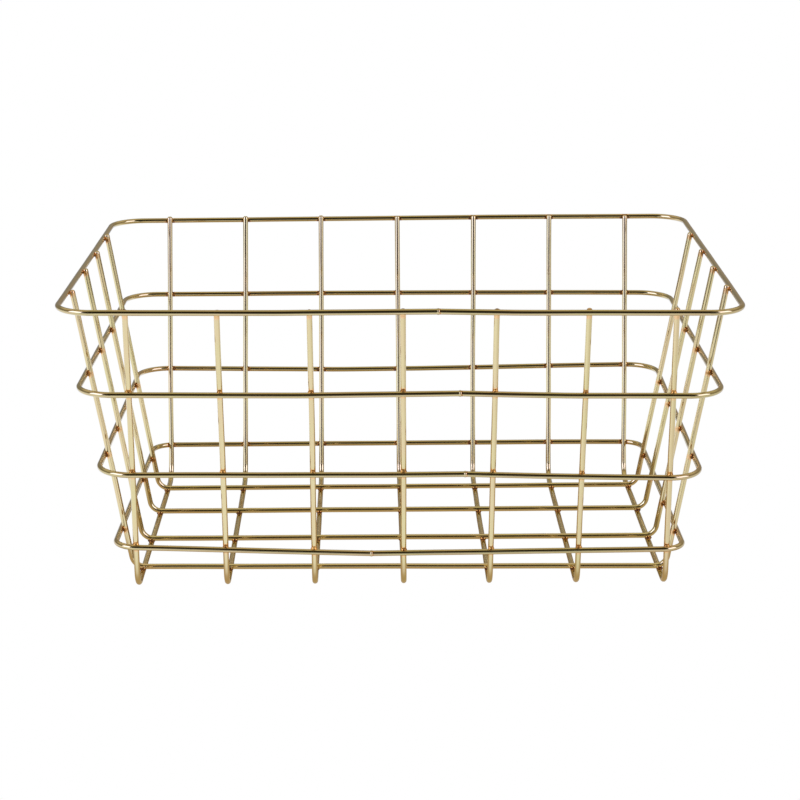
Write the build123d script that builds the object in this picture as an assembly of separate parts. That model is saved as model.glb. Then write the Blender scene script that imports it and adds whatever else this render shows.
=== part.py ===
from build123d import *
import math
import os

# Wire locker basket: an open tray of welded round wire that flares out from its floor to its rim.
# Lengths are in millimetres and leans in degrees. X runs along the basket, Y runs across it from
# front to back and Z is up. The origin is on the ground, below the middle of the basket.

# Wire stock, the same for all pieces
wire_diameter = 3.25

# How far a cross weld presses two wires into each other
weld_sink = 0.4

# Radius of the metal squeezed out round a cross weld, from the middle of the joint
cross_weld_radius = 2.35

# The rim's cross welds sit this far below its centre line, clear of the cut ends of the wires
rim_weld_drop = 1.7

# Cross wires run front to back: up one long wall, under the floor and up the other wall
cross_wire_count = 7
cross_wire_pitch = 50.0
cross_wire_bend_radius = 12.0

# Straight run of a cross wire past the outermost long wire, before it bends up
cross_wire_overrun = 14.0

# Long wires run end to end, on top of the cross wires and inside the hoops
long_wire_count = 4
long_wire_pitch = 50.0
long_wire_bend_radius = 7.5

# Straight run of a long wire past the outermost cross wire, before it bends up
long_wire_overrun = 0.2

# Outward leans of the walls, away from upright
long_wall_lean = 10.2
end_wall_lean = 9.5

# Closed hoops round the outside, by the height of their centre lines
base_hoop_height = 26.0
hoop_pitch = 48.7
hoop_corner_radius = 20.0

# The base hoop has tighter corners, so that it still runs straight past the outermost wires
base_hoop_corner_radius = 12.5

# Each hoop is closed by a butt weld on its front run, this far right of the middle
rim_hoop_weld_place = 19.5
upper_hoop_weld_place = 32.0
lower_hoop_weld_place = 35.0
base_hoop_weld_place = -17.0
butt_weld_radius = 2.1

# The wires are cut off square, this far above the rim hoop's centre line
wire_end_rise = 1.2


wire_radius = wire_diameter / 2
stack_step = wire_diameter - weld_sink
cross_floor_height = wire_radius
long_floor_height = cross_floor_height + stack_step
long_wall_slope = math.tan(math.radians(long_wall_lean))
end_wall_slope = math.tan(math.radians(end_wall_lean))


def bend_reach(bend_radius, lean):
    """Distance from a bend's tangent point to the corner that its two straights would meet in."""
    return bend_radius * math.tan(math.radians(90 - lean) / 2)


cross_floor_half = (
    (long_wire_count - 1) * long_wire_pitch / 2
    + cross_wire_overrun
    + bend_reach(cross_wire_bend_radius, long_wall_lean)
)
long_floor_half = (
    (cross_wire_count - 1) * cross_wire_pitch / 2
    + long_wire_overrun
    + bend_reach(long_wire_bend_radius, end_wall_lean)
)


def long_wall_y(height):
    """Distance of a cross wire's centre line from the middle at a height on the long walls."""
    return cross_floor_half + (height - cross_floor_height) * long_wall_slope


def end_wall_x(height):
    """Distance of a long wire's centre line from the middle at a height on the end walls."""
    return long_floor_half + (height - long_floor_height) * end_wall_slope


def hoop_half_width(height):
    """Half width of a hoop that is welded to the outside of the cross wires."""
    return long_wall_y(height) + stack_step / math.cos(math.radians(long_wall_lean))


def hoop_half_length(height):
    """Half length of a hoop that is welded to the outside of the long wires."""
    return end_wall_x(height) + stack_step / math.cos(math.radians(end_wall_lean))


def row_places(count, pitch):
    """Places of evenly spaced wires, centred on zero."""
    return [(index - (count - 1) / 2) * pitch for index in range(count)]


def round_wire(path):
    """A round wire along a path of joined lines and arcs."""
    section = Plane(path @ 0, z_dir=path % 0) * Circle(wire_radius)
    return sweep(section, path=path)


def bent_wire(corners, bend_radius):
    """An open wire through corner points, each of them bent to one radius."""
    return round_wire(FilletPolyline(*corners, radius=bend_radius))


def closed_hoop(height, corner_radius, weld_place):
    """A level hoop with rounded corners, and the bead of its butt weld on the front run."""
    outline = RectangleRounded(
        2 * hoop_half_length(height),
        2 * hoop_half_width(height),
        corner_radius,
    )
    path = Pos(0, 0, height) * outline.wire()
    along_x = Rot(0, 90, 0)
    bead = Pos(weld_place, -hoop_half_width(height), height) * along_x * Sphere(butt_weld_radius)
    return round_wire(path) + bead


def cross_weld(place, wires):
    """The squeezed-out metal of one weld: what stands clear of the two wires that it joins."""
    bead = Pos(*place) * Sphere(cross_weld_radius)
    for wire in wires:
        bead = bead - wire
    return bead


cross_places = row_places(cross_wire_count, cross_wire_pitch)
long_places = row_places(long_wire_count, long_wire_pitch)

hoop_rows = [
    ("base_hoop", base_hoop_corner_radius, base_hoop_weld_place, 0),
    ("lower_hoop", hoop_corner_radius, lower_hoop_weld_place, 0),
    ("upper_hoop", hoop_corner_radius, upper_hoop_weld_place, 0),
    ("rim_hoop", hoop_corner_radius, rim_hoop_weld_place, rim_weld_drop),
]
hoop_heights = [base_hoop_height + row * hoop_pitch for row in range(len(hoop_rows))]
wire_top = hoop_heights[-1] + wire_end_rise

# Cross wires, the lowest pieces, which carry the basket
cross_wires = []
for place in cross_places:
    corners = [
        (place, -long_wall_y(wire_top), wire_top),
        (place, -cross_floor_half, cross_floor_height),
        (place, cross_floor_half, cross_floor_height),
        (place, long_wall_y(wire_top), wire_top),
    ]
    cross_wires.append(bent_wire(corners, cross_wire_bend_radius))

# Long wires, one layer higher on the floor
long_wires = []
for place in long_places:
    corners = [
        (-end_wall_x(wire_top), place, wire_top),
        (-long_floor_half, place, long_floor_height),
        (long_floor_half, place, long_floor_height),
        (end_wall_x(wire_top), place, wire_top),
    ]
    long_wires.append(bent_wire(corners, long_wire_bend_radius))

nodes = {}
for number, wire in enumerate(cross_wires, start=1):
    nodes[f"cross_wire_{number}"] = wire
for number, wire in enumerate(long_wires, start=1):
    nodes[f"long_wire_{number}"] = wire

# Hoops, and the welds that join each of them to all the upright wires
for (hoop_name, corner_radius, weld_place, weld_drop), height in zip(hoop_rows, hoop_heights):
    hoop = closed_hoop(height, corner_radius, weld_place)
    weld_height = height - weld_drop
    weld_y = (long_wall_y(weld_height) + hoop_half_width(weld_height)) / 2
    weld_x = (end_wall_x(weld_height) + hoop_half_length(weld_height)) / 2
    welds = []
    for place, wire in zip(cross_places, cross_wires):
        for side in (-1, 1):
            welds.append(cross_weld((place, side * weld_y, weld_height), (wire, hoop)))
    for place, wire in zip(long_places, long_wires):
        for side in (-1, 1):
            welds.append(cross_weld((side * weld_x, place, weld_height), (wire, hoop)))
    nodes[hoop_name] = hoop
    nodes[f"{hoop_name}_welds"] = Compound(children=welds)

# Floor welds, where the long wires lie on the cross wires
floor_weld_height = (cross_floor_height + long_floor_height) / 2
floor_welds = []
for cross_place, cross_wire in zip(cross_places, cross_wires):
    for long_place, long_wire in zip(long_places, long_wires):
        weld_centre = (cross_place, long_place, floor_weld_height)
        floor_welds.append(cross_weld(weld_centre, (cross_wire, long_wire)))
nodes["floor_welds"] = Compound(children=floor_welds)

os.makedirs("parts", exist_ok=True)
for node_name, shape in nodes.items():
    export_step(shape, f"parts/{node_name}.step")
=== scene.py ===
import bpy
import math
import random
from mathutils import Matrix, Vector


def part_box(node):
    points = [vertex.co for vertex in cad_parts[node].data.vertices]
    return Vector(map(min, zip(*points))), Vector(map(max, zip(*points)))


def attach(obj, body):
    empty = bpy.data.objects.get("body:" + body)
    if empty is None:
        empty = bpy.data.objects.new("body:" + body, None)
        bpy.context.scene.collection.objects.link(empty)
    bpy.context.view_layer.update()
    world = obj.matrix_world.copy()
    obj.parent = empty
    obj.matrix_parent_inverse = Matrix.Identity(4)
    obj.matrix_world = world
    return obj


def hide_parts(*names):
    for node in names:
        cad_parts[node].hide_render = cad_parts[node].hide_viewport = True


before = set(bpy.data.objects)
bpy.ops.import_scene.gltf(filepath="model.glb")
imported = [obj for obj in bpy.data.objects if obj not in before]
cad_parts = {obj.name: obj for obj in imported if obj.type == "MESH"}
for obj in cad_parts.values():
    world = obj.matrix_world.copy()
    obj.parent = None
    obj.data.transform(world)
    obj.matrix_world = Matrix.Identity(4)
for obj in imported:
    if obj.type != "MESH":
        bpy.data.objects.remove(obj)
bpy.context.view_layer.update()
print("frame loaded:", len(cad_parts), "nodes")

mm = 0.001
white = (1, 1, 1, 1)
random.seed(11)


def addNode(tree, kind, **settings):
    made = tree.nodes.new(kind)
    for name, value in settings.items():
        setattr(made, name, value)
    return made


# A value or another node's output goes into a socket
def feed(tree, target, source):
    if isinstance(source, bpy.types.NodeSocket):
        tree.links.new(source, target)
    else:
        target.default_value = source


def sums(tree, operation, *values):
    made = addNode(tree, "ShaderNodeMath", operation=operation)
    for socket, value in zip(made.inputs, values):
        feed(tree, socket, value)
    return made.outputs[0]


def product(tree, first, *others):
    for other in others:
        first = sums(tree, "MULTIPLY", first, other)
    return first


def vectorSums(tree, operation, *values):
    made = addNode(tree, "ShaderNodeVectorMath", operation=operation)
    for socket, value in zip(made.inputs, values):
        feed(tree, socket, value)
    return made.outputs["Value" if operation in ("DOT_PRODUCT", "LENGTH") else "Vector"]


def vectorScaled(tree, vector, scale):
    made = addNode(tree, "ShaderNodeVectorMath", operation="SCALE")
    feed(tree, made.inputs[0], vector)
    feed(tree, made.inputs["Scale"], scale)
    return made.outputs[0]


# Goes softly from the first result to the second while the value goes from one limit to the other
def ranged(tree, value, limits, results=(0.0, 1.0)):
    made = addNode(tree, "ShaderNodeMapRange", interpolation_type="SMOOTHSTEP")
    feed(tree, made.inputs["Value"], value)
    for label, source in zip(("From Min", "From Max", "To Min", "To Max"), (*limits, *results)):
        feed(tree, made.inputs[label], source)
    return made.outputs["Result"]


def mixed(tree, share, first, second, blend="MIX"):
    made = addNode(tree, "ShaderNodeMix", data_type="RGBA", blend_type=blend)
    feed(tree, made.inputs[0], share)
    feed(tree, made.inputs[6], first)
    feed(tree, made.inputs[7], second)
    return made.outputs[2]


def addNoise(tree, place, scale, detail, seed=None):
    made = addNode(tree, "ShaderNodeTexNoise", noise_dimensions="3D" if seed is None else "4D")
    feed(tree, made.inputs["Vector"], place)
    feed(tree, made.inputs["Scale"], scale)
    feed(tree, made.inputs["Detail"], detail)
    if seed is not None:
        feed(tree, made.inputs["W"], seed)
    return made


def attribute(tree, name, output="Fac"):
    return addNode(tree, "ShaderNodeAttribute", attribute_name=name).outputs[output]


def newGroup(name, kind, inputs, outputs):
    tree = bpy.data.node_groups.new(name, kind)
    for label, socketType, value in inputs:
        socket = tree.interface.new_socket(label, in_out="INPUT", socket_type=socketType)
        if value is not None:
            socket.default_value = value
    for label, socketType in outputs:
        tree.interface.new_socket(label, in_out="OUTPUT", socket_type=socketType)
    return tree, addNode(tree, "NodeGroupInput"), addNode(tree, "NodeGroupOutput")


# The photo's camera, measured from the basket's origin. Angles are in degrees.
camera = {
    "place": (-7.7 * mm, -1233.6 * mm, 443.3 * mm),
    "pitch": 16.21,            # below level
    "yaw": 0.37,               # to the right
    "roll": -0.18,
    "focalPixels": 2097.0,
    "frameSide": 800,
    "sensor": 36.0,
}


def addCamera():
    made = bpy.data.objects.new("photoCamera", bpy.data.cameras.new("photoCamera"))
    made.data.sensor_fit = "HORIZONTAL"
    made.data.sensor_width = camera["sensor"]
    made.data.lens = camera["focalPixels"] * camera["sensor"] / camera["frameSide"]
    made.location = camera["place"]
    heading = Matrix.Rotation(math.radians(-camera["yaw"]), 3, "Z")
    tilt = Matrix.Rotation(math.radians(90 - camera["pitch"]), 3, "X")
    roll = Matrix.Rotation(math.radians(camera["roll"]), 3, "Z")
    made.rotation_euler = (heading @ tilt @ roll).to_euler()
    bpy.context.scene.collection.objects.link(made)
    bpy.context.scene.camera = made


# The room that shines in the wires: dark round the camera, with a tall soft box on each side of
# it and dim warm walls elsewhere. Angles are in degrees, from the camera's direction or above
# level, and every colour is one of light. Other limits are on the sky's unit ball.
room = {
    "boxLeft": (2.5, 2.7, 4.8, 1),
    "boxRight": (2.3, 2.35, 3.9, 1),
    "boxSide": 72,                   # the soft boxes' outer sides
    "boxEdge": 3,
    "boxFoot": (5, 8),
    "boxTop": (40, 47),
    "underLeft": (1.18, 1.36, 2.4, 1),         # what is seen under the soft boxes
    "underRight": (0.88, 0.96, 1.35, 1),
    "middle": (-0.05, 0.05),         # where left turns into right
    "darkHalf": (21, 26),            # the dark column round the camera
    "darkHalfUp": (32, 37),          # which is wider above the feet of the soft boxes
    "darkTop": (66, 80),
    "dark": (0.035, 0.030, 0.020, 1),
    "darkLow": (0.09, 0.10, 0.16, 1),
    "overhead": (0.70, 0.65, 0.50, 1),
    "overheadFoot": (0.80, 1.0),
    "slope": (0.68, 0.64, 0.55, 1),  # between the walls and what is overhead
    "slopeFoot": (0.42, 0.62),
    "sideTop": (0.36, 0.29, 0.23, 1),          # the slope's front half
    "sideTopFront": (-0.3, 0.1),
    "sideTopFoot": (0.3, 0.6),
    "wall": (0.31, 0.30, 0.27, 1),
    "wallRight": (0.38, 0.34, 0.29, 1),
    "wallMiddle": (-0.2, 0.12),
}

# The white table that shines in the wires from below. Places are in metres from the basket's
# middle. A look's limits are facing values, from 0 straight down to 1 along the table.
table = {
    "floorHalf": 25.0,
    "top": (1.03, 1.12, 1.40, 1),
    "right": (0.80, 0.77, 0.72, 1),            # share of light that the right half gets
    "rightFade": (-0.05, 0.35),
    "back": (0.36, 0.35, 0.37, 1),
    "backFade": (0.25, 1.3),
    "front": 0.95,                   # where it ends in front
    "edge": 0.04,                    # width of its soft edge there and at the sides
    "farFront": 2.6,                 # where it ends on each side of the aisle to the camera
    "farFrontEdge": 0.4,
    "aisleHalf": (0.42, 0.60),
    "aisleLook": (0.68, 0.80),       # the aisle isn't seen in a look along the table's length
    "side": 3.2,
    "sidesTo": (0.9, 1.4),           # behind this it has no sides
    "cards": (0.27, 0.50),           # two black cards lie on it to the left and right, this far out
    "cardEnds": (0.75, 0.47),        # and this far in front
    "cardEdge": 0.02,
    "below": (0.53, 0.43, 0.31, 1),  # the shaded patch below the basket
    "belowFlat": (0.20, 0.16, 0.11, 1),        # the same in a flat look
    "belowLook": (0.6, 0.8),
    "belowHalf": (0.20, 0.125),
    "belowFront": 0.113,
    "belowEdge": (0.03, 0.015, 0.1),           # half widths of its soft sides and front, and the back's width
    "sheenShare": 0.22,              # straight in front, a flat look finds the table this dark
    "sheenLook": (0.42, 0.60),
    "sheenLookEnd": (0.80, 0.86),
    "sheenHalf": (0.08, 0.20),
    "sheenEdge": 0.02,
    "mirrorLook": (0.78, 0.90),      # far off, a very flat look finds the room mirrored in it
    "mirrorFrom": (0.85, 1.05),
    "end": (4.0, 6.0),               # where the room's floor turns dark
}


# How far a way or place lies round towards the camera, 1 straight at it, 0 at the sides and -1
# behind, and how far off it is
def frontness(tree, x, y):
    reach = sums(tree, "SQRT", sums(tree, "ADD", product(tree, x, x), product(tree, y, y)))
    divisor = sums(tree, "MAXIMUM", reach, 0.0001)     # never 0
    return sums(tree, "DIVIDE", product(tree, y, -1.0), divisor), reach


def cosines(angles):
    return [math.cos(math.radians(angle)) for angle in reversed(angles)]


def sines(angles):
    return [math.sin(math.radians(angle)) for angle in angles]


# Light and dark parts of the room by their place round the basket
def roomParts(tree, x, front):
    column = ranged(tree, front, cosines(room["darkHalf"]))
    box = ranged(tree, front, cosines((room["boxSide"], room["boxSide"] + room["boxEdge"])))
    right = ranged(tree, x, room["middle"])
    under = mixed(tree, right, room["underLeft"], room["underRight"])
    return column, box, under, right


# 1 between two places, with soft edges outside them
def between(tree, value, low, high, edge):
    above = ranged(tree, value, (low - edge, low))
    return product(tree, above, ranged(tree, value, (high, high + edge), (1.0, 0.0)))


# 1 where a place is on the table
def onTable(tree, aside, y, aisle):
    near = ranged(tree, y, (-table["front"] - table["edge"], -table["front"]))
    far = ranged(tree, y, (-table["farFront"] - table["farFrontEdge"], -table["farFront"]))
    inFront = sums(tree, "MAXIMUM", near, product(tree, far, sums(tree, "SUBTRACT", 1.0, aisle)))
    beside = ranged(tree, aside, (table["side"], table["side"] + table["edge"]), (1.0, 0.0))
    behind = ranged(tree, y, table["sidesTo"])
    return product(tree, inFront, sums(tree, "MAXIMUM", beside, behind))


# 1 below the basket, where the table is shaded
def belowBasket(tree, aside, y):
    halfX, halfY = table["belowHalf"]
    softX, softFront, softBack = table["belowEdge"]
    front = -table["belowFront"]
    return product(
        tree, ranged(tree, aside, (halfX - softX, halfX + softX), (1.0, 0.0)),
        ranged(tree, y, (front - softFront, front + softFront)),
        ranged(tree, y, (halfY, halfY + softBack), (1.0, 0.0))
    )


# 1 where a flat look straight to the front finds the table dark
def darkSheen(tree, aside, y, flatness, straight):
    front, edge = -table["belowHalf"][1], table["sheenEdge"]
    return product(
        tree, ranged(tree, aside, table["sheenHalf"], (1.0, 0.0)),
        ranged(tree, y, (front - edge, front + edge), (1.0, 0.0)),
        ranged(tree, flatness, table["sheenLook"]),
        ranged(tree, flatness, table["sheenLookEnd"], (1.0, 0.0)),
        straight
    )


# The camera sees a plain white floor; what shines in the wires is a white table in a dark room
def floorMaterial():
    made = bpy.data.materials.new("whiteSweep")
    made.use_nodes = True
    tree = made.node_tree
    tree.nodes.clear()
    parts = addNode(tree, "ShaderNodeSeparateXYZ")
    feed(tree, parts.inputs[0], addNode(tree, "ShaderNodeTexCoord").outputs["Object"])
    x, y = parts.outputs["X"], parts.outputs["Y"]
    aside = sums(tree, "ABSOLUTE", x)
    front, reach = frontness(tree, x, y)
    flatness = addNode(tree, "ShaderNodeLayerWeight").outputs["Facing"]
    sideways = addNode(tree, "ShaderNodeCombineXYZ")
    feed(tree, sideways.inputs["X"], 1.0)
    across = addNode(tree, "ShaderNodeLayerWeight")
    feed(tree, across.inputs["Normal"], sideways.outputs[0])
    straight = ranged(tree, across.outputs["Facing"], table["aisleLook"])
    aisle = product(tree, ranged(tree, aside, table["aisleHalf"], (1.0, 0.0)), straight)

    column, box, under, _ = roomParts(tree, x, front)
    around = mixed(tree, box, table["back"], under)
    around = mixed(tree, column, around, room["dark"])
    beyond = mixed(tree, ranged(tree, reach, table["end"]), room["dark"], around)

    right = mixed(tree, ranged(tree, x, table["rightFade"]), white, table["right"])
    shade = mixed(tree, 1.0, table["top"], right, "MULTIPLY")
    shade = mixed(tree, ranged(tree, y, table["backFade"]), shade, table["back"])
    below = mixed(tree, ranged(tree, flatness, table["belowLook"]), table["below"], table["belowFlat"])
    shade = mixed(tree, belowBasket(tree, aside, y), shade, below)
    far, near = table["cardEnds"]
    inner, outer = table["cards"]
    edge = table["cardEdge"]
    cardEnds = between(tree, y, -far, -near - edge, edge)
    card = product(tree, cardEnds, between(tree, aside, inner, outer, edge))
    shade = mixed(tree, card, shade, room["dark"])
    dimmer = mixed(tree, 1.0, shade, (table["sheenShare"],) * 3 + (1,), "MULTIPLY")
    shade = mixed(tree, darkSheen(tree, aside, y, flatness, straight), shade, dimmer)
    mirrored = product(
        tree, ranged(tree, reach, table["mirrorFrom"]), ranged(tree, flatness, table["mirrorLook"]), aisle
    )
    shade = mixed(tree, mirrored, shade, around)

    shade = mixed(tree, onTable(tree, aside, y, aisle), beyond, shade)
    seen = addNode(tree, "ShaderNodeLightPath").outputs["Is Camera Ray"]
    shown = addNode(tree, "ShaderNodeEmission")
    feed(tree, shown.inputs["Color"], mixed(tree, seen, shade, white))
    feed(tree, addNode(tree, "ShaderNodeOutputMaterial").inputs["Surface"], shown.outputs[0])
    return made


def addFloor():
    half = table["floorHalf"]
    corners = [(-half, -half, 0), (half, -half, 0), (half, half, 0), (-half, half, 0)]
    mesh = bpy.data.meshes.new("studioFloor")
    mesh.from_pydata(corners, [], [(0, 1, 2, 3)])
    mesh.materials.append(floorMaterial())
    made = bpy.data.objects.new("studioFloor", mesh)
    bpy.context.scene.collection.objects.link(made)


# The rest of the room is a sky that differs by height and by side
def addStudioLight():
    world = bpy.data.worlds.new("studioRoom")
    bpy.context.scene.world = world
    world.use_nodes = True
    tree = world.node_tree
    tree.nodes.clear()
    parts = addNode(tree, "ShaderNodeSeparateXYZ")
    feed(tree, parts.inputs[0], addNode(tree, "ShaderNodeTexCoord").outputs["Generated"])
    x, height = parts.outputs["X"], parts.outputs["Z"]
    front, _ = frontness(tree, x, parts.outputs["Y"])
    column, box, under, right = roomParts(tree, x, front)

    wall = mixed(tree, ranged(tree, x, room["wallMiddle"]), room["wall"], room["wallRight"])
    shade = mixed(tree, ranged(tree, height, room["slopeFoot"]), wall, room["slope"])
    upFront = product(
        tree, ranged(tree, front, room["sideTopFront"]), ranged(tree, height, room["sideTopFoot"])
    )
    shade = mixed(tree, upFront, shade, room["sideTop"])
    shade = mixed(tree, ranged(tree, height, room["overheadFoot"]), shade, room["overhead"])

    aboveFeet = ranged(tree, height, sines(room["boxFoot"]))
    boxShade = mixed(tree, aboveFeet, under, mixed(tree, right, room["boxLeft"], room["boxRight"]))
    boxLow = ranged(tree, height, sines(room["boxTop"]), (1.0, 0.0))
    shade = mixed(tree, product(tree, box, boxLow), shade, boxShade)

    wide = ranged(tree, front, cosines(room["darkHalfUp"]))
    column = sums(tree, "MAXIMUM", column, product(tree, wide, aboveFeet))
    columnLow = ranged(tree, height, sines(room["darkTop"]), (1.0, 0.0))
    deep = mixed(tree, aboveFeet, room["darkLow"], room["dark"])
    shade = mixed(tree, product(tree, column, columnLow), shade, deep)

    lit = addNode(tree, "ShaderNodeBackground")
    seen = addNode(tree, "ShaderNodeLightPath").outputs["Is Camera Ray"]
    feed(tree, lit.inputs["Color"], mixed(tree, seen, shade, white))
    feed(tree, addNode(tree, "ShaderNodeOutputWorld").inputs["Surface"], lit.outputs[0])


addCamera()
addFloor()
addStudioLight()
bpy.context.scene.view_settings.view_transform = "Standard"
print("camera, floor and light are in")


# The bright brass-coloured plating, which has soft clouds of other hues, small pits, lengthwise
# drawing marks and shallow dents
plating = {
    "gold": (0.76, 0.61, 0.30, 1),
    "green": (0.73, 0.61, 0.28, 1),
    "rose": (0.78, 0.56, 0.30, 1),
    "roseShare": 0.4,
    "hoopPaintedShade": (0.82, 0.80, 0.76, 1),        # painted shade: the hoops' plating is darkened to stand in for the dimmer light they reflect
    "cloudScale": 22.0,
    "clouds": (0.35, 0.65),          # noise between which they come in
    "hueScale": 2.3,                 # the rose clouds are this much smaller
    "hues": (0.38, 0.66),
    "pit": (0.20, 0.15, 0.08, 1),
    "pitShare": 0.35,
    "pitScale": 1500.0,
    "pits": (0.70, 0.80),
    "pitDepth": 0.0005 * mm,
    "mark": (0.52, 0.39, 0.18, 1),
    "markShare": 0.12,
    "marksAcross": 2200.0,           # scale of the marks round the wire
    "marksAlong": 14.0,              # and along it
    "marks": (0.3, 0.7),
    "markDepth": 0.0015 * mm,
    "dentScale": 45.0,
    "dentDepth": 0.04 * mm,
    "roughness": 0.05,
    "markRoughness": 0.015,          # what marks, clouds and heat add to it
    "cloudRoughness": 0.015,
    "heatRoughness": 0.03,
}

# Colours of the heat tint, from its edge to the weld, and the heats between which each comes in
tint = {
    "edge": (0.84, 0.53, 0.24, 1),
    "edgeHeat": (0.02, 0.40),
    "middle": (0.44, 0.21, 0.045, 1),
    "middleHeat": (0.40, 0.75),
    "core": (0.14, 0.055, 0.015, 1),
    "coreHeat": (0.75, 1.0),
    "patchScale": 420.0,
    "patchNoise": (0.3, 0.7),
    "patches": (0.75, 1.2),          # shares of the heat from patch to patch
}

# The metal squeezed out of a weld, in the tint's colours
weldMetal = {
    "brown": (0.45, 1.0),            # from the tint's middle to its core colour
    "brownClouds": (0.0, 0.7),
    "orangePaintedLight": (0.80, 0.43, 0.10, 1),           # the beads on the front wall are orange, lightened as painted light for the dark room they face
    "orangePaintedLightClouds": (0.2, 0.9),
    "edgeShare": 0.08,
    "cloudScale": 330.0,
    "pit": (0.06, 0.03, 0.015, 1),
    "pitScale": 2600.0,
    "roughness": 0.33,
    "cloudRoughness": 0.15,
    "bumpStrength": 0.5,
    "bumpHeight": 0.1 * mm,
}


def streakGroup():
    tree, given, out = newGroup("drawnStreaks", "ShaderNodeTree", [
        ("Across", "NodeSocketFloat", plating["marksAcross"]),
        ("Along", "NodeSocketFloat", plating["marksAlong"]),
        ("Mark Depth", "NodeSocketFloat", plating["markDepth"]),
        ("Dent Scale", "NodeSocketFloat", plating["dentScale"]),
        ("Dent Depth", "NodeSocketFloat", plating["dentDepth"]),
    ], [("Streaks", "NodeSocketFloat"), ("Relief", "NodeSocketFloat")])
    section = addNode(tree, "ShaderNodeSeparateXYZ")
    feed(tree, section.inputs[0], attribute(tree, "sectionPlace", "Vector"))
    place = addNode(tree, "ShaderNodeTexCoord").outputs["Object"]
    along = vectorSums(tree, "DOT_PRODUCT", place, (1.0, 1.0, 1.0))
    point = addNode(tree, "ShaderNodeCombineXYZ")
    for axis, value, scale in (
        (0, section.outputs[0], "Across"), (1, section.outputs[1], "Across"), (2, along, "Along"),
    ):
        feed(tree, point.inputs[axis], product(tree, value, given.outputs[scale]))
    noise = addNoise(tree, point.outputs[0], 1.0, 2.0).outputs[0]
    feed(tree, out.inputs["Streaks"], ranged(tree, noise, plating["marks"]))
    dents = addNoise(tree, place, given.outputs["Dent Scale"], 1.0).outputs[0]
    relief = product(tree, noise, given.outputs["Mark Depth"])
    relief = sums(tree, "MULTIPLY_ADD", dents, given.outputs["Dent Depth"], relief)
    feed(tree, out.inputs["Relief"], relief)
    return tree


def cloudGroup():
    tree, given, out = newGroup("platingClouds", "ShaderNodeTree", [
        ("Cloud Scale", "NodeSocketFloat", plating["cloudScale"]),
        ("Pit Scale", "NodeSocketFloat", plating["pitScale"]),
    ], [("Clouds", "NodeSocketFloat"), ("Hue", "NodeSocketFloat"), ("Pits", "NodeSocketFloat")])
    place = addNode(tree, "ShaderNodeTexCoord").outputs["Object"]
    hueScale = product(tree, given.outputs["Cloud Scale"], plating["hueScale"])
    for label, scale, detail, limits in (
        ("Clouds", given.outputs["Cloud Scale"], 3.0, plating["clouds"]),
        ("Hue", hueScale, 2.0, plating["hues"]),
        ("Pits", given.outputs["Pit Scale"], 1.0, plating["pits"]),
    ):
        noise = addNoise(tree, place, scale, detail)
        feed(tree, out.inputs[label], ranged(tree, noise.outputs[0], limits))
    return tree


# The brown and copper tint that welding leaves
def heatGroup():
    tree, given, out = newGroup("weldTint", "ShaderNodeTree", [
        ("Plate", "NodeSocketColor", plating["gold"]),
        ("Heat", "NodeSocketFloat", 0.0),
    ], [("Color", "NodeSocketColor")])
    place = addNode(tree, "ShaderNodeTexCoord").outputs["Object"]
    noise = addNoise(tree, place, tint["patchScale"], 2.0).outputs[0]
    patches = ranged(tree, noise, tint["patchNoise"], tint["patches"])
    patchy = product(tree, given.outputs["Heat"], patches)
    shade = given.outputs["Plate"]
    for name in ("edge", "middle", "core"):
        shade = mixed(tree, ranged(tree, patchy, tint[name + "Heat"]), shade, tint[name])
    feed(tree, out.inputs["Color"], shade)
    return tree


streakTree = streakGroup()
cloudTree = cloudGroup()
heatTree = heatGroup()


def useGroup(tree, group, **values):
    made = addNode(tree, "ShaderNodeGroup", node_tree=group)
    for label, value in values.items():
        feed(tree, made.inputs[label.replace("_", " ")], value)
    return made.outputs


def metalMaterial(name):
    made = bpy.data.materials.new(name)
    made.use_nodes = True
    tree = made.node_tree
    surface = tree.nodes["Principled BSDF"]
    feed(tree, surface.inputs["Metallic"], 1.0)
    return made, tree, surface


def addBump(tree, surface, strength, distance, height):
    bump = addNode(tree, "ShaderNodeBump")
    feed(tree, bump.inputs["Strength"], strength)
    feed(tree, bump.inputs["Distance"], distance)
    feed(tree, bump.inputs["Height"], height)
    feed(tree, surface.inputs["Normal"], bump.outputs[0])


def platedMaterial(name, paintedShade):
    made, tree, surface = metalMaterial(name)
    drawn = useGroup(tree, streakTree)
    clouds = useGroup(tree, cloudTree)
    heat = attribute(tree, "warmth")
    plate = mixed(tree, clouds["Clouds"], plating["gold"], plating["green"])
    plate = mixed(tree, product(tree, clouds["Hue"], plating["roseShare"]), plate, plating["rose"])
    plate = mixed(tree, product(tree, drawn["Streaks"], plating["markShare"]), plate, plating["mark"])
    plate = mixed(tree, product(tree, clouds["Pits"], plating["pitShare"]), plate, plating["pit"])
    # Painted shade: the hoops' copy of the plating is multiplied darker here
    plate = mixed(tree, 1.0, plate, paintedShade, "MULTIPLY")
    feed(tree, surface.inputs["Base Color"], useGroup(tree, heatTree, Plate=plate, Heat=heat)["Color"])
    rough = plating["roughness"]
    for mask, share in (
        (drawn["Streaks"], "markRoughness"), (clouds["Clouds"], "cloudRoughness"), (heat, "heatRoughness"),
    ):
        rough = sums(tree, "MULTIPLY_ADD", mask, plating[share], rough)
    feed(tree, surface.inputs["Roughness"], rough)
    relief = sums(tree, "MULTIPLY_ADD", clouds["Pits"], -plating["pitDepth"], drawn["Relief"])
    addBump(tree, surface, 1.0, 1.0, relief)
    return made


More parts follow.
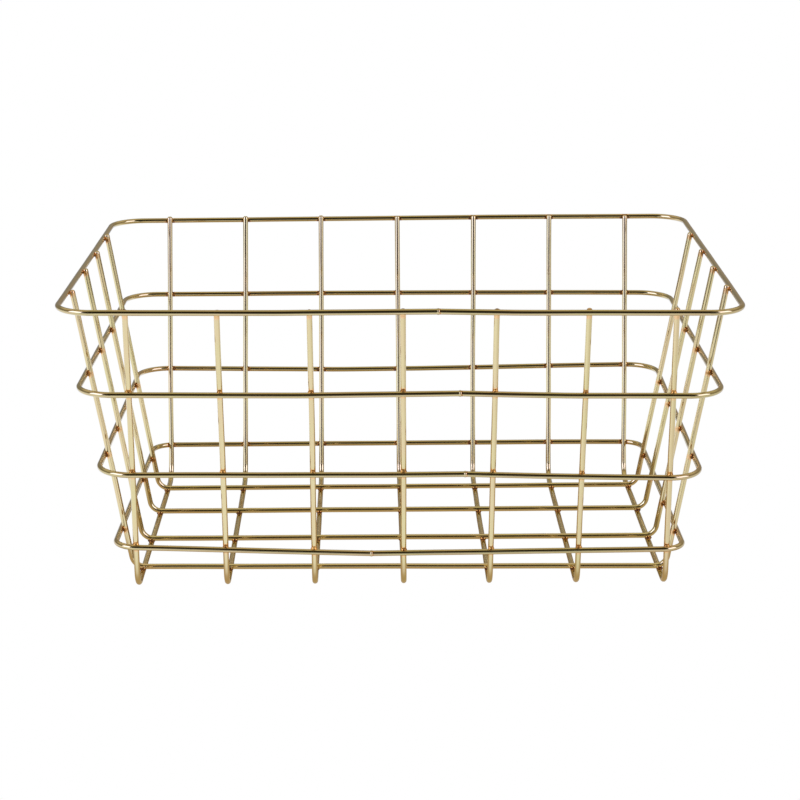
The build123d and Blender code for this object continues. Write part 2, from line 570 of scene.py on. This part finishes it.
def weldMaterial():
    made, tree, surface = metalMaterial("weldSpatter")
    clouds = useGroup(tree, cloudTree, Cloud_Scale=weldMetal["cloudScale"], Pit_Scale=weldMetal["pitScale"])
    brown = ranged(tree, clouds["Clouds"], weldMetal["brownClouds"], weldMetal["brown"])
    shade = mixed(tree, brown, tint["middle"], tint["core"])
    shade = mixed(tree, product(tree, clouds["Hue"], weldMetal["edgeShare"]), shade, tint["edge"])
    # Painted light: the front welds get a lighter orange, standing in for light the dark room doesn't give
    # them
    cloudy = ranged(tree, clouds["Clouds"], weldMetal["orangePaintedLightClouds"])
    orangePaintedLight = mixed(tree, cloudy, weldMetal["orangePaintedLight"], tint["middle"])
    shade = mixed(tree, attribute(tree, "orangePaintedLight"), shade, orangePaintedLight)
    shade = mixed(tree, clouds["Pits"], shade, weldMetal["pit"])
    feed(tree, surface.inputs["Base Color"], shade)
    rough = sums(tree, "MULTIPLY_ADD", clouds["Clouds"], weldMetal["cloudRoughness"], weldMetal["roughness"])
    feed(tree, surface.inputs["Roughness"], rough)
    relief = sums(tree, "SUBTRACT", clouds["Clouds"], clouds["Pits"])
    addBump(tree, surface, weldMetal["bumpStrength"], weldMetal["bumpHeight"], relief)
    return made


platedFinish = platedMaterial("brightPlating", white)
# The hoops get a copy of the plating darkened as painted shade
hoopShadedFinish = platedMaterial("hoopPlatingPaintedShade", plating["hoopPaintedShade"])
weldFinish = weldMaterial()
print("materials are made")


# The wire stock, shared by every wire
wire = {
    "radius": (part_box("cross_wire_1")[1].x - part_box("cross_wire_1")[0].x) / 2,
    "sides": 24,
    "step": 2.6 * mm,                # distance between rings on a straight
    "fineStep": 0.3 * mm,            # the same, close to a weld
    "bendStep": 5.0,                 # degrees between rings in a bend
    "leastBend": 0.001,              # a smaller turn, in radians, counts as straight
    "endRound": 1.2 * mm,            # a cut end is ground to a dome of this depth
    "endRings": (0.07, 0.25, 0.5, 1.0),        # where its rings lie, as shares of the depth
    "endClear": 1.3,                 # no other ring is nearer the end than this share
    "endSpread": 0.35 * mm,          # how unevenly the ends are cut
    "waver": 0.2 * mm,               # how far the wires wander off their lines
    "waverWays": (2.0, 2.0, 0.8),    # share of it along x, y and z
    "waverLength": 70 * mm,
    "waverSeed": 3.7,
}

# Walls and bends
shape = {
    "longWallLean": 10.2,            # degrees off upright
    "endWallLean": 9.5,
    "crossBend": 12.0 * mm,
    "longBend": 7.5 * mm,
    "sink": 0.4 * mm,                # how far welded wires are pressed into each other
}

# How far each wall of the real basket stands out from its even place, at its foot and at its top
bulges = {
    "front": (-0.6 * mm, -1.1 * mm),
    "back": (0.8 * mm, 2.3 * mm),
    "left": (0.4 * mm, 0.3 * mm),
    "right": (-0.9 * mm, 0.7 * mm),
}


# Sizes read off the CAD nodes, so that every piece lies where its node does
def wallSizes(name, node, side, lean):
    low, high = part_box(node)
    top = high.z - wire["radius"] * math.sin(math.radians(lean))
    reach = high[side] - wire["radius"] * math.cos(math.radians(lean))
    floor = low.z + wire["radius"]
    foot = reach - (top - floor) * math.tan(math.radians(lean)) + bulges[name][0]
    slope = (reach + bulges[name][1] - foot) / (top - floor)
    return {"top": top, "floor": floor, "slope": slope, "foot": foot}


walls = {
    "front": wallSizes("front", "cross_wire_1", 1, shape["longWallLean"]),
    "back": wallSizes("back", "cross_wire_1", 1, shape["longWallLean"]),
    "left": wallSizes("left", "long_wire_1", 0, shape["endWallLean"]),
    "right": wallSizes("right", "long_wire_1", 0, shape["endWallLean"]),
}
signs = {"front": -1, "back": 1, "left": -1, "right": 1}


# Distance of a wall wire's centre line from the middle, at a height
def wallReach(side, height):
    return walls[side]["foot"] + (height - walls[side]["floor"]) * walls[side]["slope"]


# The same for a hoop, which lies outside the wall wires
def hoopReach(side, height):
    step = 2 * wire["radius"] - shape["sink"]
    return wallReach(side, height) + step * math.hypot(1, walls[side]["slope"])


# How far each cross wire is bent aside, in mm to the right: at its front end, front foot,
# back foot and back end. The last number is how far its front end is too long, or 0 to leave
# that to chance.
crossBends = {
    1: (0.5, -2.1, -2.1, -0.6, 0.2),
    2: (0.3, -0.5, -2.6, -0.6, -0.1),
    3: (0.5, 0.1, -1.7, -0.7, -0.1),
    4: (1.1, 1.6, 0.3, -0.5, -0.1),
    5: (2.4, 1.4, -0.6, 0.0, 0.1),
    6: (2.3, 1.6, 0.0, 0.1, 0.1),
    7: (0.0, 2.6, 0.6, 0.3, 0.3),
}

# The same for each long wire, in mm to the back: left end, left foot, right foot and right end
longBends = {
    1: (-4.6, 2.2, -1.3, 0.5, 0.0),
    2: (0.2, 0.3, 1.2, 1.3, 0.0),
    3: (0.5, 1.0, 2.8, -1.8, 0.0),
    4: (-0.1, -3.6, -0.6, -2.4, 0.0),
}


# Where the wires of a row lie, read off their CAD nodes
def rowPlaces(row, numbers, axis):
    boxes = [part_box(f"{row}_{number}") for number in numbers]
    return [(low[axis] + high[axis]) / 2 for low, high in boxes]


crossPlaces = rowPlaces("cross_wire", crossBends, 0)
longPlaces = rowPlaces("long_wire", longBends, 1)


# Where a bent wire stands along its wall at a height, and where it lies on the floor
def wallPlace(place, bends, side, height):
    end, foot = (bends[0], bends[1]) if side in ("front", "left") else (bends[3], bends[2])
    share = (height - walls[side]["floor"]) / (walls[side]["top"] - walls[side]["floor"])
    return place + (foot + (end - foot) * share) * mm


def floorPlace(place, bends, near, far, at):
    share = (at + walls[near]["foot"]) / (walls[near]["foot"] + walls[far]["foot"])
    return place + (bends[1] + (bends[2] - bends[1]) * share) * mm


# Every hoop: its corner radius, how far its joints lie below its height and how far its corners
# stand off level. The front and back runs are bent a little up and down: places to the right of
# the middle and rises off the straight line, both in mm.
hoops = {
    "rim_hoop": {
        "corner": 20 * mm, "jointDrop": 1.7 * mm,
        "frontLeft": 0.8 * mm, "frontRight": -1.0 * mm, "backRight": -0.4 * mm, "backLeft": -2.2 * mm,
        "front": ((-65.0, -0.15), (20.2, 0.8), (65.0, 0.1)),
        "back": ((60.0, 0.4),),
    },
    "upper_hoop": {
        "corner": 20 * mm, "jointDrop": 0.0,
        "frontLeft": 0.8 * mm, "frontRight": -1.6 * mm, "backRight": -1.6 * mm, "backLeft": -1.3 * mm,
        "front": ((-55.0, -0.1), (32.7, 1.2), (95.0, -0.05)),
        "back": ((0.0, 0.6), (95.0, 0.45)),
    },
    "lower_hoop": {
        "corner": 20 * mm, "jointDrop": 0.0,
        "frontLeft": 0.2 * mm, "frontRight": -3.8 * mm, "backRight": 0.4 * mm, "backLeft": -0.8 * mm,
        "front": ((-13.0, 1.05), (36.1, 1.8), (80.0, 0.95)),
        "back": ((-40.0, -1.9), (15.0, -1.7), (70.0, -1.0)),
    },
    "base_hoop": {
        "corner": 12.5 * mm, "jointDrop": 0.0,
        "frontLeft": 3.1 * mm, "frontRight": -0.2 * mm, "backRight": -2.2 * mm, "backLeft": -2.8 * mm,
        "front": ((-41.0, -3.1), (-17.0, -3.65), (20.0, -2.8)),
        "back": ((95.0, 0.3),),
    },
}


# The four runs of a hoop, each from left to right or from front to back
def hoopRuns(node):
    settings = hoops[node]
    low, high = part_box(node)
    ends = {}
    for longSide in ("front", "back"):
        for endSide in ("left", "right"):
            name = longSide + endSide.capitalize()
            z = (low.z + high.z) / 2 + settings[name]
            x = signs[endSide] * hoopReach(endSide, z)
            ends[name] = Vector((x, signs[longSide] * hoopReach(longSide, z), z))
    runs = {
        "left": [ends["frontLeft"], ends["backLeft"]],
        "right": [ends["frontRight"], ends["backRight"]],
    }
    for side in ("front", "back"):
        start, end = ends[side + "Left"], ends[side + "Right"]
        points = [start]
        for along, rise in settings[side]:
            share = (along * mm - start.x) / (end.x - start.x)
            z = start.z + (end.z - start.z) * share + rise * mm
            points.append(Vector((along * mm, signs[side] * hoopReach(side, z), z)))
        runs[side] = points + [end]
    return runs


# Height of a hoop where it passes a wall wire
def hoopHeight(node, side, place):
    points = hoopRuns(node)[side]
    axis = 0 if side in ("front", "back") else 1
    for start, end in zip(points, points[1:]):
        if place <= end[axis] or end is points[-1]:
            return start.z + (end.z - start.z) * (place - start[axis]) / (end[axis] - start[axis])


# All joints of a hoop: where they are, which way they face and which way is up
def hoopJoints(node):
    found = []
    for side, places, bends in (
        ("front", crossPlaces, crossBends), ("back", crossPlaces, crossBends),
        ("left", longPlaces, longBends), ("right", longPlaces, longBends),
    ):
        sign = signs[side]
        for number, place in enumerate(places, start=1):
            z = hoopHeight(node, side, place) - hoops[node]["jointDrop"]
            along = wallPlace(place, bends[number], side, z)
            out = sign * (wallReach(side, z) + hoopReach(side, z)) / 2
            slope = sign * walls[side]["slope"]
            if side in ("front", "back"):
                spot, facing, up = (along, out, z), (0, sign, -abs(slope)), (0, slope, 1)
            else:
                spot, facing, up = (out, along, z), (sign, 0, -abs(slope)), (slope, 0, 1)
            found.append({
                "side": side,
                "place": Vector(spot),
                "facing": Vector(facing).normalized(),
                "up": Vector(up).normalized(),
            })
    return found


def floorJoints():
    found = []
    for crossNumber, x in enumerate(crossPlaces, start=1):
        for longNumber, y in enumerate(longPlaces, start=1):
            found.append({
                "side": "floor",
                "place": Vector((
                    floorPlace(x, crossBends[crossNumber], "front", "back", y),
                    floorPlace(y, longBends[longNumber], "left", "right", x),
                    (walls["front"]["floor"] + walls["left"]["floor"]) / 2,
                )),
                "facing": Vector((0, 0, 1)),
                "up": Vector((0, 1, 0)),
            })
    return found


joints = {node: hoopJoints(node) for node in hoops}
joints["floor"] = floorJoints()
jointPlaces = [joint["place"] for group in joints.values() for joint in group]

# How welding heat spreads from each joint: how far outside the joint it is centred, how far it
# reaches and how strong it is
heats = {
    "front": (-1.0 * mm, 4.4 * mm, 0.45),
    "back": (1.2 * mm, 4.3 * mm, 1.0),
    "left": (-0.6 * mm, 3.3 * mm, 0.9),
    "right": (-0.6 * mm, 3.3 * mm, 0.9),
    "floor": (0.0, 3.0 * mm, 0.7),
    "rimFront": 0.95,                # share of it at the front of the rim
    "rimLift": 0.6 * mm,
    "fade": 2.1 * mm,                # width of its soft edge
    "fineReach": 6.9 * mm,           # rings lie closer together this near to a joint
}


# A loose object whose points hold the heat of every joint
def heatMarks():
    places, reaches, strengths = [], [], []
    for node, group in joints.items():
        for joint in group:
            shift, reach, strength = heats[joint["side"]]
            atRim = node == "rim_hoop"
            lift = heats["rimLift"] if atRim else 0.0
            places.append(joint["place"] + joint["facing"] * shift + joint["up"] * lift)
            reaches.append(reach)
            strengths.append(strength * (heats["rimFront"] if atRim and joint["side"] == "front" else 1.0))
    mesh = bpy.data.meshes.new("jointPlaces")
    mesh.from_pydata(places, [], [])
    for label, values in (("reach", reaches), ("strength", strengths)):
        mesh.attributes.new(label, "FLOAT", "POINT").data.foreach_set("value", values)
    made = bpy.data.objects.new("jointPlaces", mesh)
    bpy.context.scene.collection.objects.link(made)
    return made


# Points of a rounded corner, from the end of one straight to the start of the next
def cornerArc(corner, before, after, radius):
    half = before.angle(after) / 2
    turn = math.pi - 2 * half
    if turn < wire["leastBend"]:
        return [corner]
    reach = radius / math.tan(half)
    centre = corner + (before + after).normalized() * radius / math.sin(half)
    first, last = corner + before * reach, corner + after * reach
    steps = max(1, round(math.degrees(turn) / wire["bendStep"]))
    arc = [first]
    for number in range(1, steps):
        share = number / steps
        spoke = (first - centre) * math.sin((1 - share) * turn) + (last - centre) * math.sin(share * turn)
        arc.append(centre + spoke / math.sin(turn))
    return arc + [last]


# Points along a wire with rounded corners; close to a weld they lie closer together
def wirePoints(corners, radii, closed, finePlaces):
    count = len(corners)
    bends = []
    for index, corner in enumerate(corners):
        if not closed and index in (0, count - 1):
            bends.append([corner])
            continue
        before = (corners[index - 1] - corner).normalized()
        after = (corners[(index + 1) % count] - corner).normalized()
        bends.append(cornerArc(corner, before, after, radii[index]))
    points = []
    for index in range(count):
        points += bends[index]
        if not closed and index == count - 1:
            break
        start, end = bends[index][-1], bends[(index + 1) % count][0]
        length = (end - start).length
        heading = (end - start) / length
        gone = 0.0
        while True:
            here = start + heading * gone
            near = min((here - place).length for place in finePlaces)
            gone += wire["fineStep"] if near < heats["fineReach"] else wire["step"]
            if gone > length - wire["fineStep"] / 2:
                break
            points.append(start + heading * gone)
    return points


def hostMesh(name, points, closed, girths, seams):
    count = len(points)
    edges = [(n, n + 1) for n in range(count - 1)] + ([(count - 1, 0)] if closed else [])
    mesh = bpy.data.meshes.new(name)
    mesh.from_pydata(points, edges, [])
    for label, values in (("girth", girths), ("seam", seams)):
        mesh.attributes.new(label, "FLOAT", "POINT").data.foreach_set("value", values)
    return mesh


def namedInput(tree, name, kind="FLOAT"):
    made = addNode(tree, "GeometryNodeInputNamedAttribute", data_type=kind)
    feed(tree, made.inputs["Name"], name)
    return made.outputs[0]


def stored(tree, geometry, name, value, kind="FLOAT"):
    made = addNode(tree, "GeometryNodeStoreNamedAttribute", data_type=kind, domain="POINT")
    feed(tree, made.inputs["Geometry"], geometry)
    feed(tree, made.inputs["Name"], name)
    feed(tree, made.inputs["Value"], value)
    return made.outputs[0]


def moved(tree, geometry, offset):
    made = addNode(tree, "GeometryNodeSetPosition")
    feed(tree, made.inputs["Geometry"], geometry)
    feed(tree, made.inputs["Offset"], offset)
    return made.outputs[0]


# The end of both trees: smooth shading, real geometry and the material
def finished(tree, geometry, material, target):
    smooth = addNode(tree, "GeometryNodeSetShadeSmooth")
    feed(tree, smooth.inputs["Geometry"], geometry)
    real = addNode(tree, "GeometryNodeRealizeInstances")
    feed(tree, real.inputs[0], smooth.outputs[0])
    finish = addNode(tree, "GeometryNodeSetMaterial")
    feed(tree, finish.inputs["Geometry"], real.outputs[0])
    feed(tree, finish.inputs["Material"], material)
    feed(tree, target, finish.outputs[0])


# A round wire on a path, wavering a little, with a tint where it was welded
def wireTree():
    tree, given, out = newGroup("wireOnPath", "GeometryNodeTree", [
        ("Path", "NodeSocketGeometry", None),
        ("Radius", "NodeSocketFloat", 1.6 * mm),
        ("Sides", "NodeSocketInt", 24),
        ("Waver", "NodeSocketFloat", 0.2 * mm),
        ("Waver Length", "NodeSocketFloat", 70 * mm),
        ("Seed", "NodeSocketFloat", 1.0),
        ("Heat Fade", "NodeSocketFloat", 2 * mm),
        ("Joints", "NodeSocketObject", None),
        ("Finish", "NodeSocketMaterial", None),
    ], [("Wire", "NodeSocketGeometry")])
    line = addNode(tree, "GeometryNodeMeshToCurve")
    feed(tree, line.inputs["Mesh"], given.outputs["Path"])
    place = addNode(tree, "GeometryNodeInputPosition").outputs[0]
    waverScale = sums(tree, "DIVIDE", 1.0, given.outputs["Waver Length"])
    wander = addNoise(tree, place, waverScale, 1.0, given.outputs["Seed"])
    away = vectorSums(tree, "SUBTRACT", wander.outputs["Color"], (0.5, 0.5, 0.5))
    away = vectorSums(tree, "MULTIPLY", away, wire["waverWays"])
    away = vectorScaled(tree, away, product(tree, given.outputs["Waver"], 2.0))
    section = addNode(tree, "GeometryNodeCurvePrimitiveCircle")
    feed(tree, section.inputs["Resolution"], given.outputs["Sides"])
    feed(tree, section.inputs["Radius"], given.outputs["Radius"])
    swept = addNode(tree, "GeometryNodeCurveToMesh")
    feed(tree, swept.inputs["Curve"], moved(tree, line.outputs["Curve"], away))
    marked = stored(tree, section.outputs["Curve"], "sectionPlace", place, "FLOAT_VECTOR")
    feed(tree, swept.inputs["Profile Curve"], marked)
    feed(tree, swept.inputs["Scale"], namedInput(tree, "girth"))
    feed(tree, swept.inputs["Fill Caps"], True)

    info = addNode(tree, "GeometryNodeObjectInfo")
    feed(tree, info.inputs["Object"], given.outputs["Joints"])
    near = addNode(tree, "GeometryNodeProximity", target_element="POINTS")
    feed(tree, near.inputs["Geometry"], info.outputs["Geometry"])
    nearest = addNode(tree, "GeometryNodeSampleNearest", domain="POINT")
    feed(tree, nearest.inputs["Geometry"], info.outputs["Geometry"])
    sampled = []
    for label in ("reach", "strength"):
        read = addNode(tree, "GeometryNodeSampleIndex", data_type="FLOAT", domain="POINT")
        feed(tree, read.inputs["Geometry"], info.outputs["Geometry"])
        feed(tree, read.inputs["Value"], namedInput(tree, label))
        feed(tree, read.inputs["Index"], nearest.outputs["Index"])
        sampled.append(read.outputs[0])
    reach, strength = sampled
    fadeStart = sums(tree, "SUBTRACT", reach, given.outputs["Heat Fade"])
    warmth = ranged(tree, near.outputs["Distance"], (fadeStart, reach), (1.0, 0.0))
    warmth = sums(tree, "MAXIMUM", product(tree, warmth, strength), namedInput(tree, "seam"))
    heated = stored(tree, swept.outputs[0], "warmth", warmth)
    finished(tree, heated, given.outputs["Finish"], out.inputs["Wire"])
    return tree


# Lumps of squeezed-out metal, one at each joint
def weldTree():
    tree, given, out = newGroup("weldLumps", "GeometryNodeTree", [
        ("Places", "NodeSocketGeometry", None),
        ("Lumpiness", "NodeSocketFloat", 0.4 * mm),
        ("Lump Scale", "NodeSocketFloat", 480.0),
        ("Seed", "NodeSocketFloat", 5.0),
        ("Finish", "NodeSocketMaterial", None),
    ], [("Welds", "NodeSocketGeometry")])
    ball = addNode(tree, "GeometryNodeMeshIcoSphere")
    feed(tree, ball.inputs["Radius"], 1.0)
    feed(tree, ball.inputs["Subdivisions"], 3)
    turned = addNode(tree, "FunctionNodeAxesToRotation", primary_axis="Z", secondary_axis="Y")
    feed(tree, turned.inputs[0], namedInput(tree, "facing", "FLOAT_VECTOR"))
    feed(tree, turned.inputs[1], namedInput(tree, "up", "FLOAT_VECTOR"))
    placed = addNode(tree, "GeometryNodeInstanceOnPoints")
    feed(tree, placed.inputs["Points"], given.outputs["Places"])
    feed(tree, placed.inputs["Instance"], ball.outputs["Mesh"])
    feed(tree, placed.inputs["Rotation"], turned.outputs[0])
    feed(tree, placed.inputs["Scale"], namedInput(tree, "halfSizes", "FLOAT_VECTOR"))
    real = addNode(tree, "GeometryNodeRealizeInstances")
    feed(tree, real.inputs[0], placed.outputs[0])
    place = addNode(tree, "GeometryNodeInputPosition").outputs[0]
    noise = addNoise(tree, place, given.outputs["Lump Scale"], 1.0, given.outputs["Seed"]).outputs[0]
    push = product(tree, sums(tree, "SUBTRACT", noise, 0.5), given.outputs["Lumpiness"], 2.0)
    away = vectorScaled(tree, addNode(tree, "GeometryNodeInputNormal").outputs[0], push)
    finished(tree, moved(tree, real.outputs[0], away), given.outputs["Finish"], out.inputs["Welds"])
    return tree


# Runs a tree on a host mesh and keeps the result as a plain mesh
def grow(name, host, tree, values):
    made = bpy.data.objects.new(name, host)
    bpy.context.scene.collection.objects.link(made)
    modifier = made.modifiers.new("build", "NODES")
    modifier.node_group = tree
    for item in tree.interface.items_tree:
        if item.item_type == "SOCKET" and item.in_out == "INPUT" and item.name in values:
            modifier[item.identifier] = values[item.name]
    ready = bpy.context.evaluated_depsgraph_get()
    mesh = bpy.data.meshes.new_from_object(made.evaluated_get(ready), depsgraph=ready)
    made.modifiers.remove(modifier)
    made.data = mesh
    mesh.name = name
    bpy.data.meshes.remove(host)
    return made


def keep(made, slotName, *nodes):
    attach(made, "root")
    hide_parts(*nodes)
    print(made.name, len(made.data.polygons), "faces")


jointMarks = heatMarks()
wireNodes = wireTree()
wireValues = {
    "Radius": wire["radius"],
    "Sides": wire["sides"],
    "Waver": wire["waver"],
    "Waver Length": wire["waverLength"],
    "Seed": wire["waverSeed"],
    "Heat Fade": heats["fade"],
    "Joints": jointMarks,
    "Finish": platedFinish,
}

# A hoop's bend and ridge at its butt weld, with the brown ring to the right of it
buttWeld = {
    "bendNumber": 2,                 # it is at the second bend in front
    "bend": 4 * mm,
    "otherBends": 400 * mm,          # the easy bends elsewhere in its runs
    "swell": 0.15,                   # share by which the wire is thicker
    "halfLength": 0.5 * mm,
    "tint": 1.0,
    "ring": 0.95 * mm,               # from the middle of the weld
    "ringHalf": 0.4 * mm,
}


def hump(distance, halfWidth):
    return math.exp(-(distance / halfWidth) ** 2)


# Hoops: closed wires, each with its butt weld in front
def addHoop(name, node):
    runs = hoopRuns(node)
    front, back = runs["front"], runs["back"]
    corners = front + back[::-1]
    radii = [buttWeld["otherBends"]] * len(corners)
    for index in (0, len(front) - 1, len(front), len(corners) - 1):
        radii[index] = hoops[node]["corner"]
    radii[buttWeld["bendNumber"]] = buttWeld["bend"]
    butt = front[buttWeld["bendNumber"]]
    points = wirePoints(corners, radii, True, jointPlaces + [butt])
    away = [math.copysign((point - butt).length, point.x - butt.x) for point in points]
    girths = [1 + buttWeld["swell"] * hump(distance, buttWeld["halfLength"]) for distance in away]
    seams = [buttWeld["tint"] * hump(distance - buttWeld["ring"], buttWeld["ringHalf"]) for distance in away]
    # The hoops take the copy of the plating darkened with painted shade
    values = {**wireValues, "Finish": hoopShadedFinish}
    keep(grow(name, hostMesh(name, points, True, girths, seams), wireNodes, values), "plated_wire", node)


# Open wires: up one wall, under the floor and up the other, with rounded ends
def addOpenWire(name, node, corners, bendRadius):
    points = wirePoints(corners, [0, bendRadius, bendRadius, 0], False, jointPlaces)
    first, last = points[0], points[-1]
    startWay = (points[1] - first).normalized()
    endWay = (points[-2] - last).normalized()
    clear = wire["endClear"] * wire["endRound"]
    inner = [point for point in points if min((point - first).length, (point - last).length) > clear]
    roundings = [share * wire["endRound"] for share in wire["endRings"]]
    startEnd = [first] + [first + startWay * gone for gone in roundings]
    stopEnd = [last + endWay * gone for gone in reversed(roundings)] + [last]
    points = startEnd + inner + stopEnd
    girths = []
    for point in points:
        back = min((point - first).length, (point - last).length)
        short = max(0.0, 1 - back / wire["endRound"])
        girths.append(1 - wire["endRound"] * (1 - math.sqrt(1 - short * short)) / wire["radius"])
    seams = [0.0] * len(points)
    keep(grow(name, hostMesh(name, points, False, girths, seams), wireNodes, wireValues), "plated_wire", node)


# A wall wire's corner points: its two ends and its two feet
def wireCorners(place, bends, near, far):
    found = []
    for side, extra in ((near, bends[4]), (far, 0.0)):
        top = walls[side]["top"] + (extra * mm or random.uniform(-1, 1) * wire["endSpread"])
        pair = [
            (wallPlace(place, bends, side, z), signs[side] * wallReach(side, z), z)
            for z in (top, walls[side]["floor"])
        ]
        found += pair if side == near else reversed(pair)
    return [Vector((out, along, z) if near == "left" else (along, out, z)) for along, out, z in found]


levels = ("rim", "upper", "lower", "base")
for level in levels:
    addHoop(level + "Hoop", level + "_hoop")

for number, place in enumerate(crossPlaces, start=1):
    corners = wireCorners(place, crossBends[number], "front", "back")
    addOpenWire(f"crossWire{number}", f"cross_wire_{number}", corners, shape["crossBend"])

for number, place in enumerate(longPlaces, start=1):
    corners = wireCorners(place, longBends[number], "left", "right")
    addOpenWire(f"longWire{number}", f"long_wire_{number}", corners, shape["longBend"])

bpy.data.objects.remove(jointMarks)
print("wires are in")

# The welds of each wall: half sizes along the wall, up the wall and through it, and how far
# above the joint they sit
welds = {
    "front": (1.8 * mm, 1.9 * mm, 1.5 * mm, 1.1 * mm),
    "back": (3.1 * mm, 1.2 * mm, 1.1 * mm, 0.0),
    "left": (1.75 * mm, 1.65 * mm, 1.35 * mm, 0.2 * mm),
    "right": (1.75 * mm, 1.65 * mm, 1.35 * mm, 0.2 * mm),
    "floor": (2.0 * mm, 2.0 * mm, 1.1 * mm, 0.0),
    "rimShare": 0.6,                 # the rim's welds are less high and sit higher than its joints
    "rimLift": 1.0 * mm,
    "rimPaintedLight": 0.5,                # and get half the orange painted light of the other front welds
    "lumps": 0.35 * mm,
    "sizeSpread": 0.14,              # share by which sizes differ
}
weldNodes = weldTree()


def addWelds(name, node, group, seed):
    atRim = name == "rimWelds"
    lift = welds["rimLift"] if atRim else 0.0
    # Painted light: only the front welds get the lighter orange colour
    frontPaintedLight = welds["rimPaintedLight"] if atRim else 1.0
    places, halfSizes, orangePaintedLight = [], [], []
    for joint in group:
        *halves, rise = welds[joint["side"]]
        places.append(joint["place"] + joint["up"] * (rise + lift))
        sizes = [size * (1 + random.uniform(-1, 1) * welds["sizeSpread"]) for size in halves]
        sizes[1] *= welds["rimShare"] if atRim else 1.0
        halfSizes += sizes
        orangePaintedLight.append(frontPaintedLight if joint["side"] == "front" else 0.0)
    mesh = bpy.data.meshes.new(name)
    mesh.from_pydata(places, [], [])
    for label, values in (
        ("facing", [value for joint in group for value in joint["facing"]]),
        ("up", [value for joint in group for value in joint["up"]]),
        ("halfSizes", halfSizes),
    ):
        mesh.attributes.new(label, "FLOAT_VECTOR", "POINT").data.foreach_set("vector", values)
    mesh.attributes.new("orangePaintedLight", "FLOAT", "POINT").data.foreach_set("value", orangePaintedLight)
    made = grow(name, mesh, weldNodes, {"Lumpiness": welds["lumps"], "Seed": seed, "Finish": weldFinish})
    keep(made, "weld_metal", node)


for seed, level in enumerate(levels, start=1):
    addWelds(level + "Welds", level + "_hoop_welds", joints[level + "_hoop"], float(seed))
addWelds("floorWelds", "floor_welds", joints["floor"], float(len(levels) + 1))
print("welds are in")
